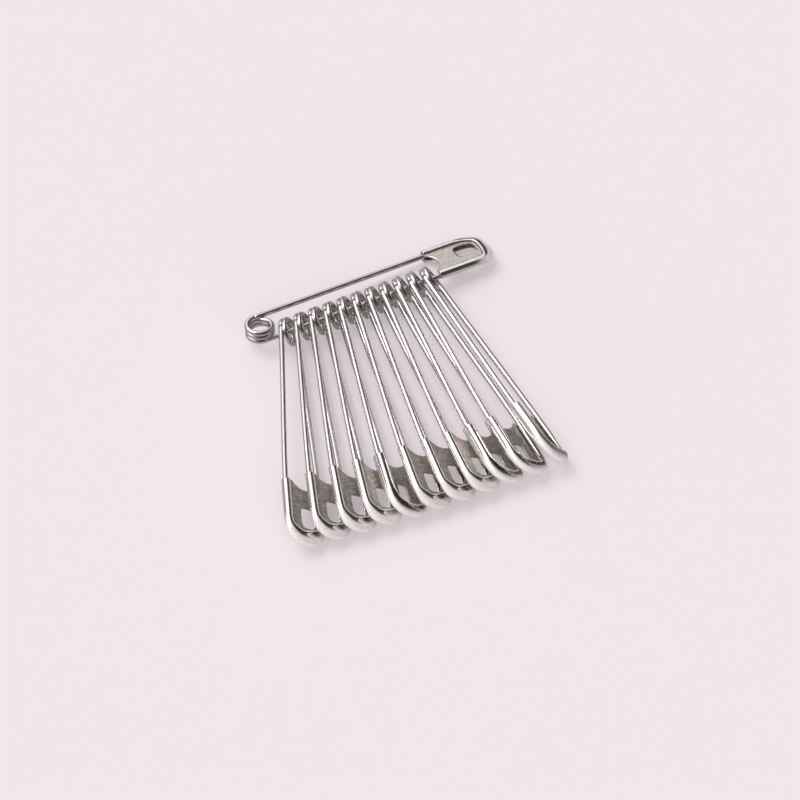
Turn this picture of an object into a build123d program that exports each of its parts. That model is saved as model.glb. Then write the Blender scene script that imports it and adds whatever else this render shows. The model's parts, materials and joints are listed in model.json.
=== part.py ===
from build123d import *
from math import asin, atan2, cos, degrees, hypot, radians, sin
import os

# A bunch of safety pins: one carrier pin, with eleven pins of the same size threaded on its needle.
# Each pin is a spine wire, a wound spring, a pointed needle arm and a stamped cap.

# Wire and sheet
wire_diameter = 1.05
sheet_thickness = 0.35
turn_gap = 0.47
running_clearance = 0.17
crimp_clearance = 0.02

# One pin, along its length and across it
pin_length = 57.0
spring_radius = 2.6
cap_length = 13.6
arm_spacing_at_cap = 7.8
needle_point_length = 4.2
needle_point_radius = 0.12
needle_end_gap = 1.6
spine_end_in_cap = 8.4

# The cap's section and its cuts
cap_thickness = 2.5
cap_edge_radius = 1.0
plate_recess = 0.4
rim_width = 2.0
crimp_flap_width = 2.5
channel_lip_height = 0.02
notch_depth = 1.7
window_start = 5.6
window_end = 10.6
window_spine_side = 2.5
window_needle_side = 1.3
window_corner_radius = 0.9
cut_overrun = 1.0

# The bunch
pin_count = 11
last_pin_index = pin_count - 1
first_spring_place = 5.2
spring_pitch = 3.22
fan_first_yaw = -20.9
fan_last_yaw = 3.0
spring_tilt = 64.5
cap_tilt = 33.0
last_cap_tilt = 50.0
carrier_tilt = 12.0
needle_height = 3.65
needle_drop_in_spring = 0.45
needle_back_in_spring = 0.45
open_side_up_pins = (5, 9, 10, 11)
carrier_turn_steps = 2
hanging_turn_steps = 1

wire_radius = wire_diameter / 2
cap_half_width = arm_spacing_at_cap / 2 + rim_width / 2
arm_offset_at_cap = arm_spacing_at_cap / 2
spring_outer_radius = spring_radius + wire_radius
nose_x = pin_length - spring_outer_radius
mouth_x = nose_x - cap_length
plate_top = -cap_thickness / 2 + plate_recess + sheet_thickness
turn_step = wire_diameter + turn_gap


# Springs
def spring_half_turns(steps):
    """Flat half turns behind, joined by climbing half turns in front, as tangent arcs."""
    half_height = steps * turn_step / 2
    arcs = []
    level = -half_height
    for turn in range(steps + 1):
        spine_side = Vector(0, -spring_radius, level)
        needle_side = Vector(0, spring_radius, level)
        arcs.append(TangentArc(spine_side, needle_side, tangent=Vector(-1, 0, 0)))
        if turn == steps:
            break
        front = Vector(hypot(spring_radius, turn_step / 2), 0, level + turn_step / 2)
        next_spine_side = Vector(0, -spring_radius, level + turn_step)
        first = TangentArc(needle_side, front, tangent=Vector(1, 0, 0))
        arcs.append(first)
        arcs.append(TangentArc(front, next_spine_side, tangent=first % 1))
        level += turn_step
    return arcs


def least_turn_gap(arcs):
    """Least distance between centre lines more than half a turn apart, less the wire."""
    samples = 24
    runs = [[arc @ (i / samples) for i in range(samples + 1)] for arc in arcs]
    gaps = []
    for i in range(len(runs)):
        for j in range(i + 2, len(runs)):
            gaps += [(a - b).length for a in runs[i] for b in runs[j]]
    return min(gaps) - wire_diameter


def make_spring(steps, twist):
    arcs = spring_half_turns(steps)
    section = Plane(origin=arcs[0] @ 0, z_dir=arcs[0] % 0) * Circle(wire_radius)
    spring = sweep(section, path=Wire(arcs))
    print("spring of", steps + 0.5, "turns, least gap", round(least_turn_gap(arcs), 3), "mm")
    return Rot(-twist, 0, 0) * spring


def arm_start(steps, twist, side):
    """Where the wire leaves the spring: side is 1 for the needle and -1 for the spine."""
    half_height = steps * turn_step / 2
    angle = radians(-twist)
    y = side * (spring_radius * cos(angle) - half_height * sin(angle))
    z = side * (spring_radius * sin(angle) + half_height * cos(angle))
    return Vector(0, y, z)


# Wire arms
def straight_wire(start, end):
    face = Plane(origin=start, x_dir=(0, 1, 0), z_dir=(1, 0, 0)) * Circle(wire_radius)
    return extrude(face, amount=(end - start).length, dir=(end - start).normalized())


def make_spine_wire(steps, twist):
    mouth = Vector(mouth_x, -arm_offset_at_cap, 0)
    end = mouth + Vector(spine_end_in_cap, 0, 0)
    return straight_wire(arm_start(steps, twist, -1), mouth) + straight_wire(mouth, end)


def make_needle(steps, twist):
    mouth = Vector(mouth_x, arm_offset_at_cap, 0)
    tip_x = nose_x - rim_width - needle_end_gap
    shoulder = Vector(tip_x - needle_point_length, arm_offset_at_cap, 0)
    point = Location(shoulder, (0, 90, 0)) * Cone(
        wire_radius, needle_point_radius, needle_point_length, align=(Align.CENTER, Align.CENTER, Align.MIN)
    )
    return straight_wire(arm_start(steps, twist, 1), mouth) + straight_wire(mouth, shoulder) + point


# Stamped cap
def u_outline(inset, start_x):
    """A bullet shape that follows the cap's outline, set in from it by inset."""
    half = cap_half_width - inset
    shoulder_x = nose_x - cap_half_width
    nose = Vector(shoulder_x + half, 0)
    lower, upper = Vector(shoulder_x, -half), Vector(shoulder_x, half)
    edges = [
        Line(Vector(start_x, -half), lower),
        ThreePointArc(lower, nose, upper),
        Line(upper, Vector(start_x, half)),
        Line(Vector(start_x, half), Vector(start_x, -half)),
    ]
    return make_face(edges)


def slab(face, low, high):
    return extrude(Pos(0, 0, low) * face, amount=high - low)


def block(x0, x1, y0, y1, z0, z1):
    centre = Pos((x0 + x1) / 2, (y0 + y1) / 2, (z0 + z1) / 2)
    return centre * Box(x1 - x0, y1 - y0, z1 - z0)


def make_cap():
    half = cap_thickness / 2
    body = slab(u_outline(0, mouth_x), -half, half)
    long_edges = body.edges().filter_by(Axis.Z, reverse=True).filter_by(Axis.Y, reverse=True)
    body = fillet(long_edges, cap_edge_radius)
    past_mouth = mouth_x - cut_overrun
    past_top = half + cut_overrun

    # Shallow dish pressed into the plate between the two rims
    body -= slab(u_outline(rim_width, past_mouth), -half - cut_overrun, -half + plate_recess)

    # Tray, open towards the side where the needle lifts out
    flap_edge = -cap_half_width + crimp_flap_width
    tray = slab(u_outline(sheet_thickness, past_mouth), plate_top, past_top)
    body -= tray & block(past_mouth, nose_x, flap_edge, cap_half_width, plate_top, past_top)

    # Channel for the needle, deeper than the tray
    channel_half = wire_radius + running_clearance
    channel = slab(u_outline(sheet_thickness, past_mouth), -channel_half, past_top)
    inner_y = arm_offset_at_cap - channel_half
    body -= channel & block(past_mouth, nose_x, inner_y, cap_half_width, -channel_half, past_top)

    # Lip of the channel, cut low so that the needle can swing out over it
    lip_end = nose_x - rim_width - needle_end_gap / 2
    body -= block(past_mouth, lip_end, inner_y, cap_half_width + cut_overrun, channel_lip_height, past_top)

    # Bore that grips the spine wire
    bore_length = spine_end_in_cap + crimp_clearance + cut_overrun
    bore = Cylinder(wire_radius + crimp_clearance, bore_length, align=(Align.CENTER, Align.CENTER, Align.MIN))
    body -= Location((past_mouth, -arm_offset_at_cap, 0), (0, 90, 0)) * bore

    # Curved notch in the plate's mouth
    spine_corner = Vector(mouth_x, flap_edge)
    needle_corner = Vector(mouth_x, inner_y)
    notch_bottom = Vector(mouth_x + notch_depth, (flap_edge + inner_y) / 2)
    notch = make_face(
        [
            ThreePointArc(spine_corner, notch_bottom, needle_corner),
            Line(needle_corner, Vector(past_mouth, inner_y)),
            Line(Vector(past_mouth, inner_y), Vector(past_mouth, flap_edge)),
            Line(Vector(past_mouth, flap_edge), spine_corner),
        ]
    )
    body -= slab(notch, -past_top, past_top)

    # Window punched through the plate
    width = window_spine_side + window_needle_side
    length = window_end - window_start
    window = RectangleRounded(length, width, window_corner_radius)
    window_centre = Pos(mouth_x + (window_start + window_end) / 2, (window_needle_side - window_spine_side) / 2)
    body -= slab(window_centre * window, -past_top, past_top)
    return body


# Places in the bunch
def carrier_place():
    """The carrier lies plate up, needle towards -Y, with its needle line level at its height."""
    flat = Rot(180 - carrier_tilt, 0, 0)
    start = (flat * Pos(arm_start(carrier_turn_steps, 0, 1))).position
    mouth = (flat * Pos(mouth_x, arm_offset_at_cap, 0)).position
    run = mouth - start
    turned = Rot(0, 0, -degrees(atan2(run.Y, run.X))) * flat
    level = Rot(0, degrees(atan2(run.Z, hypot(run.X, run.Y))), 0) * turned
    needle_start = (level * Pos(arm_start(carrier_turn_steps, 0, 1))).position
    return Pos(-needle_start.X, -needle_start.Y, needle_height - needle_start.Z) * level


def hanging_tilt(index):
    return last_cap_tilt if index == last_pin_index else cap_tilt


def yaw_at(index):
    return fan_first_yaw + (fan_last_yaw - fan_first_yaw) * index / last_pin_index


def spring_place(index):
    """The pitch grows where the pins lean more, so that neighbouring springs keep one gap."""
    steps = [spring_pitch / cos(radians(yaw_at(step) + yaw_at(step + 1)) / 2) for step in range(index)]
    return first_spring_place + sum(steps)


def hanging_place(index):
    """A hanging pin: spring on the carrier's needle, arms towards -Y, leaning to the right."""
    tilt = hanging_tilt(index)
    spring_centre = Vector(
        spring_place(index),
        -needle_back_in_spring,
        needle_height + needle_drop_in_spring,
    )
    cap_rest = cap_half_width * sin(radians(tilt)) + cap_thickness / 2 * cos(radians(tilt))
    fall = degrees(asin((spring_centre.Z - cap_rest) / (mouth_x + cap_length / 2)))
    aim = Rot(0, 0, yaw_at(index) - 90) * Rot(0, fall, 0)
    side_up = 0 if index + 1 in open_side_up_pins else 180
    return Pos(*spring_centre) * aim * Rot(side_up - tilt, 0, 0)


def twist_of(index):
    return spring_tilt - hanging_tilt(index)


# Pins
def make_pin(name, steps, twist, place):
    return {
        name + "_spine_wire": place * make_spine_wire(steps, twist),
        name + "_spring": place * make_spring(steps, twist),
        name + "_needle": place * make_needle(steps, twist),
        name + "_cap": place * cap_shape,
    }


cap_shape = make_cap()
pieces = make_pin("carrier", carrier_turn_steps, 0, carrier_place())
for pin_index in range(pin_count):
    pin_name = "pin_%02d" % (pin_index + 1)
    pieces |= make_pin(pin_name, hanging_turn_steps, twist_of(pin_index), hanging_place(pin_index))

# The frame's origin is the middle of the bunch, on the table
box = Compound(list(pieces.values())).bounding_box()
to_frame = Pos(-box.center().X, -box.center().Y, -box.min.Z)

os.makedirs("parts", exist_ok=True)
for node_name, solid in pieces.items():
    export_step(to_frame * solid, "parts/" + node_name + ".step")
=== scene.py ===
import json
import math
from types import SimpleNamespace

import bmesh
import bpy
import numpy as np
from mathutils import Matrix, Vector


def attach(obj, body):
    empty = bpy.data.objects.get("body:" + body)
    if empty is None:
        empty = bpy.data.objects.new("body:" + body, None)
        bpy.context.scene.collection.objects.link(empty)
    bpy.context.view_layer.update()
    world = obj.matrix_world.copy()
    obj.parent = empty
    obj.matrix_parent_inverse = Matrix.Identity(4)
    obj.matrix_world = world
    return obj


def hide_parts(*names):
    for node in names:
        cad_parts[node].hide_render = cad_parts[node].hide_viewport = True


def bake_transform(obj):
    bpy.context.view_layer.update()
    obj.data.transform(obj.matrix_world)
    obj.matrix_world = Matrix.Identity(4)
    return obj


bl_info = {
    "name": "Safety pin bunch",
    "version": (1, 0, 0),
    "blender": (4, 5, 0),
    "location": "3D View > Sidebar > Pins",
    "description": "Eleven plated safety pins threaded on a twelfth: wires, springs and stamped caps",
    "category": "Add Mesh",
}

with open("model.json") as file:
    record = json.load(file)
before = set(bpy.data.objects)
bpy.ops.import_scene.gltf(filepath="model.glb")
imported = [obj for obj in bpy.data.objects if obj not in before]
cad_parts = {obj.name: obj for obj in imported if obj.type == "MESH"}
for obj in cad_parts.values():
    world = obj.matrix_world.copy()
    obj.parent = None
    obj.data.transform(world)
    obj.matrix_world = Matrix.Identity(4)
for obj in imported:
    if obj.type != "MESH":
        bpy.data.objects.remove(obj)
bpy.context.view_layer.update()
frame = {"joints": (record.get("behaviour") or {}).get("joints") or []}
JOINTS = {joint["name"]: joint for joint in frame["joints"]}
HANGING = ["pin_%02d" % number for number in range(1, 12)]
ALL_PINS = ["carrier"] + HANGING

# The script's own sizes are in mm and degrees, and a point is put into the frame in metres
MM = 0.001

# Steps of the meshes
WIRE_SIDES = 28
STEPS_PER_TURN = 72
ARM_STEPS = 60
ARM_STEPS_IN_CAP = 12
POINT_STEPS = 28
OUTLINE_SIDE_STEPS = 400
OUTLINE_NOSE_STEPS = 1500
RIM_SIDE_ROWS = 60
RIM_NOSE_ROWS = 110
RIM_COLUMNS = 52
NOTCH_STEPS = 40
PLATE_STEPS = 14
MERGE_DISTANCE_M = 1e-7


# Sizes and colours
def size_in_mm(name, description, mm):
    """A length that the scene keeps in metres."""
    return bpy.props.FloatProperty(name=name, description=description, default=mm * MM, subtype="DISTANCE")


def angle_in_degrees(name, description, degrees):
    """An angle that the scene keeps in radians."""
    turn = math.radians(degrees)
    return bpy.props.FloatProperty(name=name, description=description, default=turn, subtype="ANGLE")


def finish_colour(name, description, colour):
    return bpy.props.FloatVectorProperty(
        name=name, description=description, default=colour, subtype="COLOR", size=3
    )


class PinSizes(bpy.types.PropertyGroup):
    wire_radius: size_in_mm("Wire radius", "Half the wire's thickness", 0.55)
    spring_radius: size_in_mm("Spring radius", "From the spring's middle to the middle of its wire", 2.6)
    turn_step: size_in_mm("Turn step", "Distance between turns", 1.18)
    carrier_step: size_in_mm("Carrier step", "Turn step that sets the carrier's needle line", 1.52)
    pin_length: size_in_mm("Pin length", "From spring to nose", 57.0)
    cap_length: size_in_mm("Cap length", "From mouth to nose", 13.6)
    cap_half_width: size_in_mm("Cap half width", "Half the cap's width", 4.9)
    cap_thickness: size_in_mm("Cap thickness", "Over both rims", 2.5)
    sheet: size_in_mm("Sheet", "Thickness of the stamped sheet", 0.32)
    arm_offset: size_in_mm("Arm offset", "From the pin's middle to each arm at the cap", 3.9)
    rim_width: size_in_mm("Rim width", "Width of the rounded rims", 2.0)
    plate_recess: size_in_mm("Plate recess", "Depth of the plate below the rims", 0.42)
    nose_bulge: size_in_mm("Nose bulge", "How far the drawn nose swells past the pin's length", 1.2)
    carrier_bulge: size_in_mm("Carrier bulge", "How far the carrier's nose swells past its length", 0.1)
    lip_height: size_in_mm("Lip height", "Height of the needle channel's lip", 0.02)
    notch_depth: size_in_mm("Notch depth", "Depth of the curved notch in the mouth", 1.7)
    window_start: size_in_mm("Window start", "From the mouth to the window", 6.2)
    window_end: size_in_mm("Window end", "From the mouth to the window's far side", 11.2)
    window_spine_side: size_in_mm("Window spine side", "From the middle towards the spine", 2.5)
    window_needle_side: size_in_mm("Window needle side", "From the middle towards the needle", 1.3)
    point_length: size_in_mm("Point length", "Length of the ground point", 4.2)
    point_radius: size_in_mm("Point radius", "Radius at the very tip", 0.1)
    tip_from_nose: size_in_mm("Tip from nose", "From the nose to the needle's tip", 3.6)
    spine_in_cap: size_in_mm("Spine in cap", "Length of spine wire inside the cap", 8.4)


class FanSizes(bpy.types.PropertyGroup):
    first_yaw: angle_in_degrees("First lean", "Direction of the first pin", -20.9)
    last_yaw: angle_in_degrees("Last lean", "Direction of the last pin", 3.0)
    cap_tilt: angle_in_degrees("Cap tilt", "Tilt of the caps from the table", 33.0)
    last_cap_tilt: angle_in_degrees("Last cap tilt", "Tilt of the last cap", 50.0)
    spring_tilt: angle_in_degrees("Spring tilt", "Tilt of the springs from the table", 64.5)
    carrier_tilt: angle_in_degrees("Carrier tilt", "Tilt of the carrier from the table", 12.0)
    needle_lift: angle_in_degrees("Needle lift", "From the pin's plane to the needle's way out", 60.0)
    table_drop: size_in_mm("Table drop", "Height that the frame was lowered by", 0.343)


class LookSettings(bpy.types.PropertyGroup):
    plating: finish_colour("Plating", "Colour of the bright plating", (0.88, 0.85, 0.83))
    # Tumbled satin of the noses, lighter than the plating as a painted reflection on their walls and a
    # painted highlight on their ridges
    satin_plating: finish_colour("Satin plating", "Tumbled plating on the noses", (0.96, 0.925, 0.90))
    dull_plating: finish_colour("Dull plating", "Plating inside the caps", (0.45, 0.40, 0.36))
    floor: finish_colour("Floor", "Colour of the table", (0.871, 0.783, 0.831))


def plain_sizes(group):
    """A group's sizes as plain numbers by name, lengths in mm and angles in degrees."""
    unit_sizes = {"LENGTH": MM, "ROTATION": math.radians(1)}
    names = type(group).__annotations__
    found = {name: getattr(group, name) / unit_sizes[group.bl_rna.properties[name].unit] for name in names}
    return SimpleNamespace(**found)


def sizes():
    return plain_sizes(bpy.context.scene.pin_sizes)


def fan():
    return plain_sizes(bpy.context.scene.pin_fan)


# Places of the pins
def turn_x(angle):
    a = np.radians(angle)
    return np.array([[1, 0, 0], [0, np.cos(a), -np.sin(a)], [0, np.sin(a), np.cos(a)]])


def turn_y(angle):
    a = np.radians(angle)
    return np.array([[np.cos(a), 0, np.sin(a)], [0, 1, 0], [-np.sin(a), 0, np.cos(a)]])


def turn_z(angle):
    a = np.radians(angle)
    return np.array([[np.cos(a), -np.sin(a), 0], [np.sin(a), np.cos(a), 0], [0, 0, 1]])


def nose_x():
    return sizes().pin_length - sizes().spring_radius - sizes().wire_radius


def mouth_x():
    return nose_x() - sizes().cap_length


def steps_of(pin):
    """Whole turns in a pin's spring, which has half a turn more."""
    return 2 if pin == "carrier" else 1


def lean_of(pin):
    return fan().last_cap_tilt if pin == HANGING[-1] else fan().cap_tilt


def twist_of(pin):
    """The turn from a cap's tilt to its spring's, in degrees."""
    return 0 if pin == "carrier" else fan().spring_tilt - lean_of(pin)


def spring_shift(pin):
    """The carrier's spring winds tightly from its needle's end, so that the needle line keeps its place."""
    if pin != "carrier":
        return 0.0
    return steps_of(pin) * (sizes().carrier_step - sizes().turn_step) / 2


def arm_start(pin, side):
    """Where the wire leaves the spring: side is 1 for the needle and -1 for the spine."""
    height = side * steps_of(pin) * sizes().turn_step / 2 + spring_shift(pin)
    return turn_x(-twist_of(pin)) @ np.array([0, side * sizes().spring_radius, height])


def carrier_turn():
    """The carrier lies plate up with a slight tilt, and is turned until its needle runs level along X."""
    flat = turn_x(180 - fan().carrier_tilt)
    run = flat @ (np.array([mouth_x(), sizes().arm_offset, 0]) - arm_start("carrier", 1))
    level = turn_z(-np.degrees(np.arctan2(run[1], run[0])))
    return turn_y(np.degrees(np.arctan2(run[2], np.hypot(run[0], run[1])))) @ level @ flat


def hanging_turn(pin):
    """A hanging pin falls until its cap rests on the table. Its needle's axis in the frame tells which side
    of the cap is up."""
    s, f = sizes(), fan()
    opening = JOINTS[pin + "_needle_opening"]
    lean = np.radians(lean_of(pin))
    centre_height = opening["pos_m"][2] / MM + f.table_drop
    rest = s.cap_half_width * np.sin(lean) + s.cap_thickness / 2 * np.cos(lean)
    fall = np.degrees(np.arcsin((centre_height - rest) / (mouth_x() + s.cap_length / 2)))
    yaw = f.first_yaw + (f.last_yaw - f.first_yaw) * HANGING.index(pin) / (len(HANGING) - 1)
    aim = turn_z(yaw - 90) @ turn_y(fall)
    lift = np.radians(f.needle_lift)
    own_axis = np.array([0, -np.sin(lift), np.cos(lift)])
    both_sides = [aim @ turn_x(side_up - lean_of(pin)) for side_up in (0, 180)]
    return max(both_sides, key=lambda turn: np.array(opening["axis"]) @ (turn @ own_axis))


def put(pin, points):
    """Points in a pin's own axes (nose, needle side, open side), in mm, moved to the frame, in metres."""
    turn = carrier_turn() if pin == "carrier" else hanging_turn(pin)
    return (points @ turn.T) * MM + np.array(JOINTS[pin + "_needle_opening"]["pos_m"])


# Curves and meshes
def smooth_step(value, low, high):
    """None below low, one above high, and t * t * (3 - 2 * t) between them."""
    t = np.clip((value - low) / (high - low), 0, 1)
    return t * t * (3 - 2 * t)


def hump(value, middle, spread, power=2):
    """One at the middle, falling to none past the spread: exp(-((value - middle) / spread) ** power)."""
    return np.exp(-(((value - middle) / spread) ** power))


def grid_faces(rows, columns, closed_rows=False, closed_columns=False):
    """Four-sided faces of a grid of points, numbered row by row."""
    r = np.arange(rows if closed_rows else rows - 1)[:, None]
    c = np.arange(columns if closed_columns else columns - 1)[None, :]
    r2, c2 = (r + 1) % rows, (c + 1) % columns
    faces = np.stack([r * columns + c, r * columns + c2, r2 * columns + c2, r2 * columns + c], axis=-1)
    return faces.reshape(-1, 4)


def make_mesh(name, points, faces, marks=None):
    """A piece of points and faces. Marks are named values at its points, single or in threes. A piece with
    marks is a closed skin, so its doubles are merged and its faces turned outwards."""
    mesh = bpy.data.meshes.new(name)
    mesh.from_pydata(points.tolist(), [], faces)
    if marks:
        for mark, values in marks.items():
            kind, field = ("FLOAT", "value") if values.ndim == 1 else ("FLOAT_VECTOR", "vector")
            layer = mesh.attributes.new(mark, kind, "POINT")
            layer.data.foreach_set(field, values.astype(np.float32).ravel())
        work = bmesh.new()
        work.from_mesh(mesh)
        bmesh.ops.remove_doubles(work, verts=work.verts, dist=MERGE_DISTANCE_M)
        bmesh.ops.recalc_face_normals(work, faces=work.faces)
        work.to_mesh(mesh)
        work.free()
    mesh.polygons.foreach_set("use_smooth", np.ones(len(mesh.polygons), bool))
    mesh.update()
    piece = bpy.data.objects.new(name, mesh)
    bpy.context.scene.collection.objects.link(piece)
    return piece


# Wire
# An arm's share of the S-curve, and the angle in radians over which a spring's climb eases in and out
ARM_BEND = 0.35
SPRING_EASE_ANGLE = 1.2
POINT_TAPER_POWER = 1.35

# How far the drawn mark goes on from pin to pin, so that no two wires have the same lines
MARK_SHIFT_PER_PIN = 50.0


def drawn_wire(name, pin, path, radii, outwards):
    """A round section carried along a path: point = path + radius * (cos a * across + sin a * up). The drawn
    mark holds the length along the wire and the direction round it, because drawn lines run along it."""
    along = np.gradient(path, axis=0)
    along /= np.linalg.norm(along, axis=1)[:, None]
    up = np.cross(along, outwards)
    up /= np.linalg.norm(up, axis=1)[:, None]
    across = np.cross(up, along)
    angle = np.linspace(0, 2 * np.pi, WIRE_SIDES, endpoint=False)
    ring = across[:, None] * np.cos(angle)[:, None] + up[:, None] * np.sin(angle)[:, None]
    skin = (path[:, None] + ring * radii[:, None, None]).reshape(-1, 3)

    # Each end is closed by a fan of faces round one more point
    around = np.arange(WIRE_SIDES)
    following = (around + 1) % WIRE_SIDES
    last_ring = len(skin) - WIRE_SIDES
    first_fan = np.stack([np.full(WIRE_SIDES, len(skin)), following, around], 1)
    last_fan = np.stack([np.full(WIRE_SIDES, len(skin) + 1), last_ring + around, last_ring + following], 1)
    faces = grid_faces(len(path), WIRE_SIDES, closed_columns=True).tolist()
    faces += first_fan.tolist() + last_fan.tolist()

    length = np.concatenate([[0], np.cumsum(np.linalg.norm(np.diff(path, axis=0), axis=1))])
    drawn = np.stack(np.broadcast_arrays(length[:, None], np.cos(angle), np.sin(angle)), -1).reshape(-1, 3)
    drawn = np.vstack([drawn, [length[0], 0, 0], [length[-1], 0, 0]])
    drawn[:, 0] += MARK_SHIFT_PER_PIN * ALL_PINS.index(pin)
    return make_mesh(name, put(pin, np.vstack([skin, path[0], path[-1]])), faces, {"drawn": drawn})


def spring_path(pin):
    """A screw line: angle a runs from the spine side to the needle side, and the height climbs with a, easing
    in and out at both ends, so that the arms leave without a kink. Gives the line and the way outwards."""
    turns = steps_of(pin) + 0.5
    a = np.linspace(0, 2 * np.pi * turns, int(STEPS_PER_TURN * turns) + 1)
    climb = np.clip(np.minimum(a, a[-1] - a) / SPRING_EASE_ANGLE, 0, 1)
    share = np.cumsum(climb) / np.sum(climb)
    height = (share - 0.5) * steps_of(pin) * sizes().turn_step + spring_shift(pin)
    around = np.stack([-np.sin(a), -np.cos(a), np.zeros_like(a)], 1)
    line = around * sizes().spring_radius
    line[:, 2] = height
    twist = turn_x(-twist_of(pin))
    return line @ twist.T, around @ twist.T


def arm_path(pin, side, end_x):
    """From the spring's end to the cap's mouth in a faint bow, which mixes a straight line with an S-curve,
    then straight into the cap to end_x."""
    start = arm_start(pin, side)
    mouth = np.array([mouth_x(), side * sizes().arm_offset, 0])
    share = np.linspace(0, 1, ARM_STEPS)[:, None]
    # The carrier's needle is straight, because the springs ride on it
    bend = 0.0 if (pin, side) == ("carrier", 1) else ARM_BEND
    sideways = share + (smooth_step(share, 0, 1) - share) * bend
    bow = start + (mouth - start) * np.hstack([share, sideways, sideways])
    inside = np.linspace(0, 1, ARM_STEPS_IN_CAP)[1:, None]
    held = mouth + inside * np.array([end_x - mouth[0], 0, 0])
    return np.vstack([bow, held])


# Stamped cap
# Marks on a cap: polish, a satin finish whose lighter colour is also a painted reflection and highlight, and
# painted shade in the folds
CAP_MARKS = ("polish", "satin_and_sheen", "fold_shade")

# Places of three of a section's twelve corners
FREE_EDGE, FLAP_TOP, RIDGE_INSIDE = 0, 2, 9
FLAP_CORNER = 1.3

# Powers of the rounded outlines, 2 for an ellipse and more for a squarer one
CARRIER_NOSE_POWER = 2.8
HANGING_NOSE_POWER = 2.4
WINDOW_POWER = 4.6
WINDOW_SQUARER_AT_MOUTH = 0.8
NOTCH_POWER = 0.8

# The window keeps within this share of the way from its middle to the plate's edge
WINDOW_REACH_LIMIT = 0.9

# Where one section blends into the next, in mm from where the outline's side ends or starts
SPINE_TO_NOSE = (-1.8, 3.2)
NOSE_TO_NEEDLE = (-5.4, -1.8)
MARKS_OFF_NOSE = (-1.0, 3.0)

# A hanging nose's ridges cut straight across: how far each corner moves in, and where it does so most
RIDGE_CUT = np.array([0.70, 0.75, 0.60, 0.20, 0, 0, 0.35, 0.80, 0.85, 0.85, 0.80, 0.65])
RIDGE_CUT_FROM_MIDDLE = -2.0
RIDGE_CUT_SPREAD = 3.4

# Pleats where the sheet was gathered
PLEAT_WAVES = (7.9, 3.3, 12.7)
PLEAT_SHIFT_PER_PIN = 1.7
FINE_PLEATS = 0.5
GATHERED_FROM_SIDE = 1.5
GATHERED_SPREAD = 3.5
RIDGE_PLEAT_RISE = 0.07
RIDGE_PLEAT_LEAST = 0.4
RIDGE_PLEAT_SHIFT = 0.05
FLAP_PLEAT_DENT = 0.10

# Bands across the rim, from 0 at the free edge to 1 at the plate: the ends of a step, or the middle, spread
# and power of a hump
POLISH_ENDS = (0.80, 0.87)
WALL_STARTS = (0.27, 0.34)
WALL_ENDS = (0.53, 0.58)
FLAP_RIDGE = (0.115, 0.065, 4)
PLATE_RIDGE = (0.745, 0.046, 4)
# The three fold bands are where painted shade darkens the rim
FOLD_UNDER_RIDGE = (0.845, 0.034, 4)
FOLD_OVER_WALL = (0.655, 0.024, 2)
FOLD_BY_FLAP = (0.235, 0.050, 2)

# Strengths of the marks on the rim, and the polish of the plate and the cut edges
# The ridges' satin is a painted highlight as well as a rubbed finish
FLAP_RIDGE_SATIN_AND_HIGHLIGHT = 0.8
PLATE_RIDGE_SATIN_AND_HIGHLIGHT = 0.9
# How strong the painted shade in the folds is on average, and how much the pleats break it
FOLD_SHADE_MEAN = 0.72
FOLD_SHADE_BREAKS = 0.28
CARRIER_PLATE_POLISH = 0.45
CUT_EDGE_POLISH = 0.8
NOTCH_POLISH = 0.5
WINDOW_POLISH = 0.3


def spline_weights(count, corners):
    """A quadratic spline's shares of its corners: row i says how the curve's point i mixes them."""
    at = np.linspace(0, corners, count)
    first = np.minimum(at.astype(int), corners - 1)
    t = at - first
    shares = np.stack([(1 - t) ** 2 / 2, 0.5 + t * (1 - t), t ** 2 / 2], 1)
    weights = np.zeros((count, corners))
    for step in range(3):
        corner = np.clip(first + step - 1, 0, corners - 1)
        np.add.at(weights, (np.arange(count), corner), shares[:, step])
    return weights


def rim_sections():
    """Corners of the sheet's outer face, as insets from the outline and heights from the pin's plane, from
    its free edge over the side to the plate: on the spine side, round the nose and on the needle side."""
    s = sizes()
    top, edge, lip = s.cap_thickness / 2, s.rim_width, s.lip_height
    plate = s.plate_recess - top
    ridge = [(0.45, 0.02 - top), (0.7, -top), (1.0, -top - 0.01), (1.38, -top), (1.56, plate), (edge, plate)]
    flap = [(edge + 0.4, top - 0.7), (edge + 0.1, top - 0.3), (1.35, top + 0.04), (0.3, top - 0.02)]
    spine = flap + [(-0.02, 0.35), (0.05, -0.7)] + ridge
    nose_flap = [(1.95, top - 0.1), (1.8, top + 0.04), (1.5, top - 0.04)]
    nose_wall = [(0.7, 1.02), (0.0, 0.3), (0.12, -0.5), (0.95, -1.0), (1.75, -1.14)]
    nose_ridge = [(1.92, -top - 0.04), (2.26, -top - 0.04), (2.42, plate), (edge + 0.6, plate)]
    channel = [(0.0, height) for height in (lip, lip - 0.05, lip - 0.12, -0.2, -0.35)]
    needle = channel + [(0.06, -0.75)] + ridge
    return np.array(spine), np.array(nose_flap + nose_wall + nose_ridge), np.array(needle)


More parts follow.
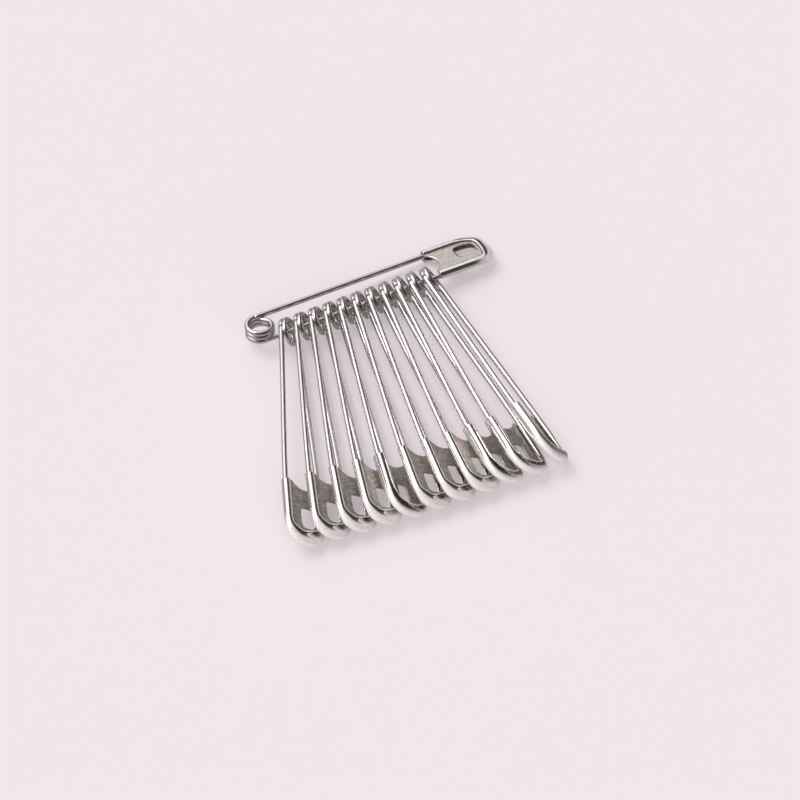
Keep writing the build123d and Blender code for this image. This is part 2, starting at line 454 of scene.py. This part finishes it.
def outline(bulge, power):
    """The cap's outline by length: a straight side, half a rounded oblong of the given power for the nose,
    and the other side. Gives the length and, at each point of it, x, y and the direction outwards."""
    s = sizes()
    half = s.cap_half_width
    shoulder = nose_x() - half
    angle = np.linspace(-np.pi / 2, np.pi / 2, OUTLINE_NOSE_STEPS)
    ahead, beside = np.cos(angle), np.sin(angle)
    reach = (np.abs(ahead / (half + bulge)) ** power + np.abs(beside / half) ** power) ** (-1 / power)
    straight = np.linspace(mouth_x(), shoulder, OUTLINE_SIDE_STEPS)[:-1]
    x = np.concatenate([straight, shoulder + reach * ahead, straight[::-1]])
    y = np.concatenate([np.full(len(straight), -half), reach * beside, np.full(len(straight), half)])
    length = np.concatenate([[0], np.cumsum(np.hypot(np.diff(x), np.diff(y)))])
    slope_x, slope_y = np.gradient(x, length), np.gradient(y, length)
    slope = np.hypot(slope_x, slope_y)
    return length, np.stack([x, y, slope_y / slope, -slope_x / slope], 1)


def pleats_along(rows, pin):
    """Uneven waves along the rim, different on each pin: a quick wave times a slow one, and a fine one."""
    quick, slow, fine = PLEAT_WAVES
    start = PLEAT_SHIFT_PER_PIN * ALL_PINS.index(pin)
    waves = np.sin(rows * quick + start) * np.sin(rows * slow + 2 * start)
    return waves + FINE_PLEATS * np.sin(rows * fine + 3 * start)


def rim_marks(pleats, to_nose, round_nose):
    """Polish as far as the plate. Satin on the nose's wall and its two ridges, whose lighter colour is also a
    painted reflection on the wall and a painted highlight on the ridges. Painted shade under the ridge all
    round and beside both ridges of the nose, broken by the pleats."""
    across = np.linspace(0, 1, RIM_COLUMNS)[None, :]
    polish = 1 - smooth_step(across, *POLISH_ENDS)
    wall = smooth_step(across, *WALL_STARTS) * (1 - smooth_step(across, *WALL_ENDS))
    # Satin on the nose's wall, its light colour a painted reflection, and on the ridges a painted highlight
    satin_and_sheen = round_nose * (wall + FLAP_RIDGE_SATIN_AND_HIGHLIGHT * hump(across, *FLAP_RIDGE))
    satin_and_sheen = satin_and_sheen + to_nose * PLATE_RIDGE_SATIN_AND_HIGHLIGHT * hump(across, *PLATE_RIDGE)
    dashes = (FOLD_SHADE_MEAN + FOLD_SHADE_BREAKS * np.clip(pleats, -1, 1))[:, None]
    beside = hump(across, *FOLD_OVER_WALL) + hump(across, *FOLD_BY_FLAP)
    # Painted shade in the folds
    fold_shade = np.clip((hump(across, *FOLD_UNDER_RIDGE) + round_nose * beside) * dashes, 0, 1)
    return polish, satin_and_sheen, fold_shade


def rim_corners(pin, rows, side, total, to_nose, to_needle, pleats):
    """The section's corners at each row, blended from spine side to nose to needle side, then cut and
    pleated. Side is the length of the outline's straight side, and total is the whole outline's."""
    spine, nose, needle = rim_sections()
    corners = spine + (nose - spine) * to_nose[..., None]
    corners += (needle - corners) * to_needle[..., None]
    if pin != "carrier":
        cut_share = hump(rows, total / 2 + RIDGE_CUT_FROM_MIDDLE, RIDGE_CUT_SPREAD)
        corners[..., 0] += cut_share[:, None] * RIDGE_CUT

    # The flap's corner at the mouth is cut round
    short = np.clip(FLAP_CORNER - rows, 0, None)
    corners[:, FREE_EDGE, 0] -= FLAP_CORNER - np.sqrt(FLAP_CORNER ** 2 - short ** 2)

    # The pleats dent the ridge's inner side and the flap's top, most where the nose starts
    gathered = hump(rows, side + GATHERED_FROM_SIDE, GATHERED_SPREAD)
    rise = RIDGE_PLEAT_RISE * (RIDGE_PLEAT_LEAST + (1 - RIDGE_PLEAT_LEAST) * gathered)
    corners[:, RIDGE_INSIDE, 1] += rise * np.clip(pleats, -0.2, 1.2)
    corners[:, RIDGE_INSIDE, 0] += RIDGE_PLEAT_SHIFT * pleats
    corners[:, FLAP_TOP, 1] -= FLAP_PLEAT_DENT * gathered * np.clip(pleats, 0, 1.2)
    return corners


def formed_rim(pin):
    """The formed sheet: a section carried round the outline, which is a spline through its corners' middles.
    The inner face is the outer one moved along the section's normal by the sheet's thickness. Gives the
    outer face, the inner face and the outer one's marks."""
    s = sizes()
    if pin == "carrier":
        length, edge = outline(s.carrier_bulge, CARRIER_NOSE_POWER)
    else:
        length, edge = outline(s.nose_bulge, HANGING_NOSE_POWER)
    side = s.cap_length - s.cap_half_width
    total = length[-1]
    side_rows = np.linspace(0, side, RIM_SIDE_ROWS)[:-1]
    nose_rows = np.linspace(side, total - side, RIM_NOSE_ROWS)
    rows = np.concatenate([side_rows, nose_rows, total - side_rows[::-1]])

    to_nose = smooth_step(rows - side, *SPINE_TO_NOSE)[:, None]
    to_needle = smooth_step(rows - (total - side), *NOSE_TO_NEEDLE)[:, None]
    round_nose = to_nose * smooth_step(total - rows - side, *MARKS_OFF_NOSE)[:, None]
    pleats = pleats_along(rows, pin)
    corners = rim_corners(pin, rows, side, total, to_nose, to_needle, pleats)
    section = np.einsum("ck,rkv->rcv", spline_weights(RIM_COLUMNS, corners.shape[1]), corners)
    slope = np.gradient(section, axis=1)
    slope /= np.linalg.norm(slope, axis=-1)[..., None]
    inner_section = section + np.stack([-slope[..., 1], slope[..., 0]], -1) * s.sheet
    base_x, base_y, away_x, away_y = (np.interp(rows, length, column)[:, None] for column in edge.T)
    outer, inner = (
        np.stack([base_x - face[..., 0] * away_x, base_y - face[..., 0] * away_y, face[..., 1]], -1)
        for face in (section, inner_section)
    )
    return outer, inner, rim_marks(pleats, to_nose, round_nose)


def plate_sheet(rim_edge):
    """The plate: straight lines from each point of its outer edge, along the rim and back through the
    mouth's curved notch, to the window's edge. At angle a the window reaches
    ((|cos a| / half_x) ** power + (|sin a| / half_y) ** power) ** (-1 / power), a rounded oblong."""
    s = sizes()
    low, high = rim_edge[0], rim_edge[-1]
    share = np.linspace(1, 0, NOTCH_STEPS + 2)[1:-1]
    notch_y = low[1] + (high[1] - low[1]) * share
    from_middle = (notch_y - (low[1] + high[1]) / 2) / ((high[1] - low[1]) / 2)
    notch_x = mouth_x() + s.notch_depth * (1 - from_middle ** 2) ** NOTCH_POWER
    border = np.vstack([rim_edge[:, :2], np.stack([notch_x, notch_y], 1)])
    height = np.concatenate([rim_edge[:, 2], np.linspace(high[2], low[2], NOTCH_STEPS)])

    centre_x = mouth_x() + (s.window_start + s.window_end) / 2
    centre = np.array([centre_x, (s.window_needle_side - s.window_spine_side) / 2])
    half_x = (s.window_end - s.window_start) / 2
    half_y = (s.window_spine_side + s.window_needle_side) / 2
    away = border - centre
    distance = np.hypot(away[:, 0], away[:, 1])
    direction = away / distance[:, None]
    power = WINDOW_POWER - WINDOW_SQUARER_AT_MOUTH * direction[:, 0]
    reach = np.abs(direction[:, 0] / half_x) ** power + np.abs(direction[:, 1] / half_y) ** power
    reach = np.minimum(reach ** (-1 / power), WINDOW_REACH_LIMIT * distance)
    window = centre + direction * reach[:, None]
    t = np.linspace(0, 1, PLATE_STEPS)[None, :, None]
    flat = border[:, None] * (1 - t) + window[:, None] * t
    return np.dstack([flat, np.broadcast_to(height[:, None], flat.shape[:2])])


def skin_part(points, polish, satin_and_sheen=0.0, fold_shade=0.0, closed=False, flip=False):
    """One sheet of a cap's skin: its points, its faces and the marks at its points."""
    faces = grid_faces(points.shape[0], points.shape[1], closed_rows=closed)
    if flip:
        faces = faces[:, ::-1]
    marks = [np.broadcast_to(mark, points.shape[:2]).ravel() for mark in (polish, satin_and_sheen, fold_shade)]
    return points.reshape(-1, 3), faces, np.stack(marks, 1)


def between(outer_line, inner_line):
    """The sheet's cut edge, between a line on its outer face and the same line on its inner face."""
    return np.stack([outer_line, inner_line], 1)


def stamped_cap(pin):
    """Rim and plate, outer and inner faces, joined by their edges into one closed skin."""
    outer, inner, outer_marks = formed_rim(pin)
    plate_out, plate_in = plate_sheet(outer[:, -1]), plate_sheet(inner[:, -1])
    plate_polish = CARRIER_PLATE_POLISH if pin == "carrier" else 0.0
    # The notch's line starts and ends on the rim
    notch_out, notch_in = (
        np.vstack([rim[-1, -1], plate[len(rim):, 0], rim[0, -1]])
        for rim, plate in ((outer, plate_out), (inner, plate_in))
    )
    parts = [
        skin_part(outer, *outer_marks),
        skin_part(inner, polish=0.0, flip=True),
        skin_part(between(outer[:, 0], inner[:, 0]), CUT_EDGE_POLISH, flip=True),
        skin_part(plate_out, plate_polish, closed=True),
        skin_part(plate_in, polish=0.0, closed=True, flip=True),
        skin_part(between(plate_out[:, -1], plate_in[:, -1]), WINDOW_POLISH, closed=True),
        skin_part(between(outer[0], inner[0]), CUT_EDGE_POLISH),
        skin_part(between(outer[-1], inner[-1]), CUT_EDGE_POLISH),
        skin_part(between(notch_out, notch_in), NOTCH_POLISH),
    ]
    points, faces, marks = zip(*parts)
    starts = np.cumsum([0] + [len(part) for part in points])
    faces = np.vstack([part + start for part, start in zip(faces, starts)])
    placed = put(pin, np.vstack(points))
    # No cap reaches below the table
    placed[:, 2] = np.maximum(placed[:, 2], 0)
    named = dict(zip(CAP_MARKS, np.vstack(marks).T))
    return make_mesh(pin + "_formed_cap", placed, faces.tolist(), named)


# Finishes
# Scale and detail of the noise for each handling mark, on object coordinates in metres
SMEARS = (420.0, 4.0)
BLOTCHES = (1500.0, 3.0)
PITS = (3600.0, 1.0)
PIT_THRESHOLD = 0.70
PIT_DEPTH = -0.3
BUMP_DISTANCE_M = 0.00002

# The drawn lines' noise, on the drawn mark: stretched along the wire and fine round it
DRAWN_STRETCH = (0.35, 5.0, 5.0)
DRAWN_LINES = (1.0, 2.0)


def shade(colour, share):
    return tuple(share * value for value in colour)


def new_material(name):
    """Gives a new material, its node tree and its shader."""
    made = bpy.data.materials.new(name)
    made.use_nodes = True
    return made, made.node_tree, made.node_tree.nodes["Principled BSDF"]


def feed(tree, socket, value):
    """Links an output to a socket, or sets the socket to a number or a colour."""
    if isinstance(value, bpy.types.NodeSocket):
        tree.links.new(value, socket)
    else:
        socket.default_value = (*value, 1.0) if isinstance(value, tuple) else value


def add_math(tree, operation, *values):
    """A math node's output, from numbers and outputs."""
    node = tree.nodes.new("ShaderNodeMath")
    node.operation = operation
    for socket, value in zip(node.inputs, values):
        feed(tree, socket, value)
    return node.outputs["Value"]


def add_mix(tree, factor, low, high, blend="MIX"):
    """A colour mix of two colours or outputs."""
    node = tree.nodes.new("ShaderNodeMix")
    node.data_type = "RGBA"
    node.blend_type = blend
    for name, value in (("Factor", factor), ("A", low), ("B", high)):
        feed(tree, node.inputs[name], value)
    return node.outputs["Result"]


def add_noise(tree, vector, scale, detail):
    node = tree.nodes.new("ShaderNodeTexNoise")
    for name, value in (("Vector", vector), ("Scale", scale), ("Detail", detail)):
        feed(tree, node.inputs[name], value)
    return node.outputs["Fac"]


def add_mark(tree, name, output="Fac"):
    """One of the piece's own marks, as a value or as a vector."""
    mark = tree.nodes.new("ShaderNodeAttribute")
    mark.attribute_name = name
    return mark.outputs[output]


def handling_group():
    """Handling marks of plated metal: smears, blotches and small pits, as roughness, height and mask."""
    group = bpy.data.node_groups.new("Handled plating", "ShaderNodeTree")
    group.interface.new_socket("Vector", in_out="INPUT", socket_type="NodeSocketVector")
    for name in ("Roughness", "Smear"):
        group.interface.new_socket(name, in_out="INPUT", socket_type="NodeSocketFloat")
    for name in ("Roughness", "Height", "Pits"):
        group.interface.new_socket(name, in_out="OUTPUT", socket_type="NodeSocketFloat")
    given, sink = group.nodes.new("NodeGroupInput").outputs, group.nodes.new("NodeGroupOutput").inputs
    smears = add_noise(group, given["Vector"], *SMEARS)
    blotches = add_noise(group, given["Vector"], *BLOTCHES)
    pits = add_math(group, "GREATER_THAN", add_noise(group, given["Vector"], *PITS), PIT_THRESHOLD)
    rough = add_math(group, "MULTIPLY_ADD", smears, given["Smear"], given["Roughness"])
    feed(group, sink["Roughness"], rough)
    feed(group, sink["Height"], add_math(group, "MULTIPLY_ADD", pits, PIT_DEPTH, blotches))
    feed(group, sink["Pits"], pits)
    return group


def handled_plating(tree, shader, roughness, smear, bump):
    """The handling group on object coordinates, with its bump on the shader. Gives the group's outputs."""
    handled = tree.nodes.new("ShaderNodeGroup")
    handled.node_tree = bpy.data.node_groups.get("Handled plating") or handling_group()
    coordinates = tree.nodes.new("ShaderNodeTexCoord").outputs["Object"]
    for name, value in (("Vector", coordinates), ("Roughness", roughness), ("Smear", smear)):
        feed(tree, handled.inputs[name], value)
    raised = tree.nodes.new("ShaderNodeBump")
    height = handled.outputs["Height"]
    for name, value in (("Strength", bump), ("Distance", BUMP_DISTANCE_M), ("Height", height)):
        feed(tree, raised.inputs[name], value)
    feed(tree, shader.inputs["Normal"], raised.outputs["Normal"])
    return handled.outputs


def wire_plating():
    """Bright drawn wire: faint lines run along it, between rougher and smoother plating."""
    made, tree, shader = new_material("Plated wire")
    plating = tuple(bpy.context.scene.pin_look.plating)
    worn_share, line_roughness = 0.82, 0.12
    handled = handled_plating(tree, shader, roughness=0.10, smear=0.06, bump=0.04)
    stretched = tree.nodes.new("ShaderNodeMapping")
    stretched.inputs["Scale"].default_value = DRAWN_STRETCH
    feed(tree, stretched.inputs["Vector"], add_mark(tree, "drawn", "Vector"))
    lines = add_noise(tree, stretched.outputs["Vector"], *DRAWN_LINES)
    rough = add_math(tree, "MULTIPLY_ADD", lines, line_roughness, handled["Roughness"])
    feed(tree, shader.inputs["Roughness"], rough)
    feed(tree, shader.inputs["Base Color"], add_mix(tree, lines, plating, shade(plating, worn_share)))
    shader.inputs["Metallic"].default_value = 1.0
    return made


def sheet_plating():
    """Stamped plated sheet. The polish mark takes it from dull blotchy plate to bright ridges; the satin mark
    gives the noses a tumbled satin finish, whose lighter colour is also a painted reflection on their walls
    and a painted highlight on their ridges; and the fold mark paints shade into the folds."""
    made, tree, shader = new_material("Plated sheet")
    look = bpy.context.scene.pin_look
    handled = handled_plating(tree, shader, roughness=0.09, smear=0.09, bump=0.35)
    polish, satin_and_sheen, fold_shade = (add_mark(tree, name) for name in CAP_MARKS)

    blotch_contrast, blotch_offset, pit_strength = 2.4, -0.7, 0.6
    blotches = add_math(tree, "MULTIPLY_ADD", handled["Height"], blotch_contrast, blotch_offset)
    pits = add_math(tree, "MULTIPLY", handled["Pits"], pit_strength)
    # The darkest colour serves both the painted shade in the folds and the pits
    shade_and_pit_dark, dark, light = (shade(look.dull_plating, share) for share in (0.10, 0.60, 1.40))
    colour = add_mix(tree, blotches, dark, light)
    colour = add_mix(tree, polish, colour, tuple(look.plating))
    # Satin colour: the tumbled finish, and a painted reflection and highlight
    colour = add_mix(tree, satin_and_sheen, colour, tuple(look.satin_plating))
    # Painted shade in the folds
    colour = add_mix(tree, fold_shade, colour, shade_and_pit_dark)
    feed(tree, shader.inputs["Base Color"], add_mix(tree, pits, colour, shade_and_pit_dark))

    dull_roughness, satin_roughness = 0.34, 0.30
    unpolished = add_math(tree, "SUBTRACT", 1.0, polish)
    rough = add_math(tree, "MULTIPLY_ADD", unpolished, dull_roughness, handled["Roughness"])
    rough = add_math(tree, "MULTIPLY_ADD", satin_and_sheen, satin_roughness, rough)
    feed(tree, shader.inputs["Roughness"], rough)

    # Satin parts lose most of their metal, so their light colour shows as a painted reflection and highlight
    dull_metal, polished_metal, satin_and_sheen_metal = 0.55, 0.45, -0.78
    metal = add_math(tree, "MULTIPLY_ADD", polish, polished_metal, dull_metal)
    feed(tree, shader.inputs["Metallic"], add_math(tree, "MULTIPLY_ADD", satin_and_sheen, satin_and_sheen_metal, metal))
    return made


def wire_finish():
    return bpy.data.materials.get("Plated wire") or wire_plating()


def cap_finish():
    return bpy.data.materials.get("Plated sheet") or sheet_plating()


def dress(piece, material):
    piece.data.materials.append(material)


# Operators
class PINS_OT_spines(bpy.types.Operator):
    """Spine wires, from each spring into the cap's crimped rim."""

    bl_idname = "pins.spines"
    bl_label = "Spine wires"

    def execute(self, context):
        s = sizes()
        for pin in ALL_PINS:
            path = arm_path(pin, -1, mouth_x() + s.spine_in_cap)
            radii = np.full(len(path), s.wire_radius)
            piece = drawn_wire(pin + "_drawn_spine", pin, path, radii, np.array([0, -1.0, 0]))
            dress(piece, wire_finish())
            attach(piece, pin + "_frame")
            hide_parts(pin + "_spine_wire")
        return {"FINISHED"}


class PINS_OT_needles(bpy.types.Operator):
    """Needle arms. Along the ground point the radius goes from the wire's to the tip's with a power of the
    share of the way, so that it starts gently."""

    bl_idname = "pins.needles"
    bl_label = "Needles"

    def execute(self, context):
        s = sizes()
        share = np.linspace(0, 1, POINT_STEPS)[1:]
        taper = s.wire_radius + (s.point_radius - s.wire_radius) * share ** POINT_TAPER_POWER
        for pin in ALL_PINS:
            arm = arm_path(pin, 1, nose_x() - s.tip_from_nose - s.point_length)
            point = arm[-1] + share[:, None] * np.array([s.point_length, 0, 0])
            radii = np.concatenate([np.full(len(arm), s.wire_radius), taper])
            path = np.vstack([arm, point])
            piece = drawn_wire(pin + "_ground_needle", pin, path, radii, np.array([0, 1.0, 0]))
            dress(piece, wire_finish())
            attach(piece, pin + "_needle_arm")
            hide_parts(pin + "_needle")
        return {"FINISHED"}


class PINS_OT_springs(bpy.types.Operator):
    """Wound springs between spine and needle."""

    bl_idname = "pins.springs"
    bl_label = "Springs"

    def execute(self, context):
        s = sizes()
        for pin in ALL_PINS:
            path, outwards = spring_path(pin)
            radii = np.full(len(path), s.wire_radius)
            piece = drawn_wire(pin + "_wound_spring", pin, path, radii, outwards)
            dress(piece, wire_finish())
            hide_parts(pin + "_spring")
            bend = np.array([arm_start(pin, -1), arm_start(pin, 1)])
            if pin == HANGING[0]:
                # This one opens wide beside the next spring, so its points are taken at its back and its side
                back_and_side = np.array([[-s.spring_radius, 0, 0], [0, s.spring_radius, 0]])
                bend = back_and_side @ turn_x(-twist_of(pin)).T
            ends = put(pin, bend)
            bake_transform(piece)
        return {"FINISHED"}


class PINS_OT_caps(bpy.types.Operator):
    """Stamped caps of formed sheet, with rims, plate, notch and window."""

    bl_idname = "pins.caps"
    bl_label = "Caps"

    def execute(self, context):
        for pin in ALL_PINS:
            piece = stamped_cap(pin)
            dress(piece, cap_finish())
            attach(piece, pin + "_frame")
            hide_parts(pin + "_cap")
        return {"FINISHED"}


# Stage
# The table's points a side, and half its size in metres
TABLE_POINTS = 5
TABLE_HALF_SIZE_M = 3.0

# The dim room, and its soft panels: the direction, the cosines where the edge starts and ends, the colour
ROOM_COLOUR = (0.06, 0.055, 0.052)
PANELS = (
    ((-0.05, 0.75, 0.66), (0.72, 0.93), (0.90, 0.88, 0.89)),
    ((-0.95, 0.10, 0.28), (0.60, 0.95), (0.42, 0.41, 0.42)),
    ((-0.25, 0.25, 0.94), (0.80, 0.98), (0.45, 0.44, 0.45)),
)

# Soft far lights: the name, the direction from the table, the strength, the angle across in degrees, the
# colour, and whether reflections show it
SUNS = (
    ("Key", (-0.40, 0.42, 0.82), 1.25, 40.0, (1.0, 0.985, 0.985), True),
    ("Fill", (-0.10, 0.10, 1.0), 0.30, 120.0, (1.0, 1.0, 1.0), False),
    ("Front", (-0.25, -0.80, 0.45), 1.50, 70.0, (1.0, 0.99, 0.98), False),
)

# The camera, with its lens and sensor in mm, its angles in degrees, and its distance and target in metres
CAMERA_LENS = 181.08
CAMERA_SENSOR = 36.0
CAMERA_AZIMUTH = -25.54
CAMERA_ELEVATION = 51.69
CAMERA_DISTANCE = 0.834
CAMERA_TARGET = (0.00114, -0.00115, -0.00034)


def table_finish():
    """The table's colour is partly lit and partly its own glow, and the metal sees it at half strength."""
    made, tree, shader = new_material("Table")
    floor = bpy.context.scene.pin_look.floor
    lit_share, glow_share, reflected_share = 0.60, 0.40, 0.5
    reflected = tree.nodes.new("ShaderNodeLightPath").outputs["Is Glossy Ray"]
    for share, socket in ((lit_share, "Base Color"), (glow_share, "Emission Color")):
        colour = shade(floor, share)
        feed(tree, shader.inputs[socket], add_mix(tree, reflected, colour, shade(colour, reflected_share)))
    shader.inputs["Emission Strength"].default_value = 1.0
    shader.inputs["Roughness"].default_value = 0.9
    shader.inputs["Specular IOR Level"].default_value = 0.1
    return made


def room_panel(tree, towards, edges, colour, below):
    """Adds a soft-edged bright panel to the room: none short of the first cosine of the angle to its
    direction, and full past the second."""
    facing = tree.nodes.new("ShaderNodeVectorMath")
    facing.operation = "DOT_PRODUCT"
    feed(tree, facing.inputs[0], tree.nodes.new("ShaderNodeTexCoord").outputs["Generated"])
    facing.inputs[1].default_value = Vector(towards).normalized()
    fade = tree.nodes.new("ShaderNodeMapRange")
    fade.interpolation_type = "SMOOTHSTEP"
    for name, value in (("Value", facing.outputs["Value"]), ("From Min", edges[0]), ("From Max", edges[1])):
        feed(tree, fade.inputs[name], value)
    return add_mix(tree, fade.outputs["Result"], below, colour, blend="ADD")


def make_room():
    world = bpy.data.worlds.new("Room")
    world.use_nodes = True
    room = ROOM_COLOUR
    for towards, edges, colour in PANELS:
        room = room_panel(world.node_tree, towards, edges, colour, room)
    feed(world.node_tree, world.node_tree.nodes["Background"].inputs["Color"], room)
    return world


def face_along(thing, direction):
    """Turns a light or a camera, which look along their own -Z, to look in a direction."""
    thing.rotation_mode = "QUATERNION"
    thing.rotation_quaternion = direction.to_track_quat("-Z", "Y")


def add_sun(name, towards, strength, spread, colour, in_reflections):
    data = bpy.data.lights.new(name, "SUN")
    data.energy, data.color, data.angle = strength, colour, math.radians(spread)
    lamp = bpy.data.objects.new(name, data)
    bpy.context.scene.collection.objects.link(lamp)
    face_along(lamp, -Vector(towards))
    lamp.visible_glossy = in_reflections


def make_camera():
    data = bpy.data.cameras.new("Camera")
    data.lens, data.sensor_width = CAMERA_LENS, CAMERA_SENSOR
    data.clip_start, data.clip_end = 0.01, 10.0
    camera = bpy.data.objects.new("Camera", data)
    bpy.context.scene.collection.objects.link(camera)
    azimuth, elevation = math.radians(CAMERA_AZIMUTH), math.radians(CAMERA_ELEVATION)
    level = math.cos(elevation)
    back = Vector((math.sin(azimuth) * level, -math.cos(azimuth) * level, math.sin(elevation)))
    camera.location = Vector(CAMERA_TARGET) + back * CAMERA_DISTANCE
    face_along(camera, -back)
    return camera


class PINS_OT_stage(bpy.types.Operator):
    """Pale table, soft lights and the camera at the photograph's angle."""

    bl_idname = "pins.stage"
    bl_label = "Stage"

    def execute(self, context):
        scene = context.scene
        across = np.linspace(-TABLE_HALF_SIZE_M, TABLE_HALF_SIZE_M, TABLE_POINTS)
        x, y = np.meshgrid(across, across, indexing="ij")
        points = np.stack([x, y, np.zeros_like(x)], -1).reshape(-1, 3)
        table = make_mesh("Table", points, grid_faces(TABLE_POINTS, TABLE_POINTS).tolist())
        table.data.materials.append(table_finish())
        scene.world = make_room()
        for sun in SUNS:
            add_sun(*sun)
        scene.camera = make_camera()
        scene.view_settings.view_transform = "Standard"
        scene.view_settings.look = "None"
        return {"FINISHED"}


class PINS_PT_panel(bpy.types.Panel):
    bl_label = "Safety pin bunch"
    bl_idname = "PINS_PT_panel"
    bl_space_type = "VIEW_3D"
    bl_region_type = "UI"
    bl_category = "Pins"

    def draw(self, context):
        for operator in OPERATORS:
            self.layout.operator(operator.bl_idname)
        for group in (context.scene.pin_sizes, context.scene.pin_fan, context.scene.pin_look):
            for name in type(group).__annotations__:
                self.layout.prop(group, name)


OPERATORS = (PINS_OT_spines, PINS_OT_needles, PINS_OT_springs, PINS_OT_caps, PINS_OT_stage)
CLASSES = (PinSizes, FanSizes, LookSettings, *OPERATORS, PINS_PT_panel)


def register():
    for item in CLASSES:
        bpy.utils.register_class(item)
    bpy.types.Scene.pin_sizes = bpy.props.PointerProperty(type=PinSizes)
    bpy.types.Scene.pin_fan = bpy.props.PointerProperty(type=FanSizes)
    bpy.types.Scene.pin_look = bpy.props.PointerProperty(type=LookSettings)


def unregister():
    del bpy.types.Scene.pin_look
    del bpy.types.Scene.pin_fan
    del bpy.types.Scene.pin_sizes
    for item in reversed(CLASSES):
        bpy.utils.unregister_class(item)


def main():
    register()
    bpy.ops.pins.spines()
    bpy.ops.pins.needles()
    bpy.ops.pins.springs()
    bpy.ops.pins.caps()
    bpy.ops.pins.stage()


if __name__ == "__main__":
    main()
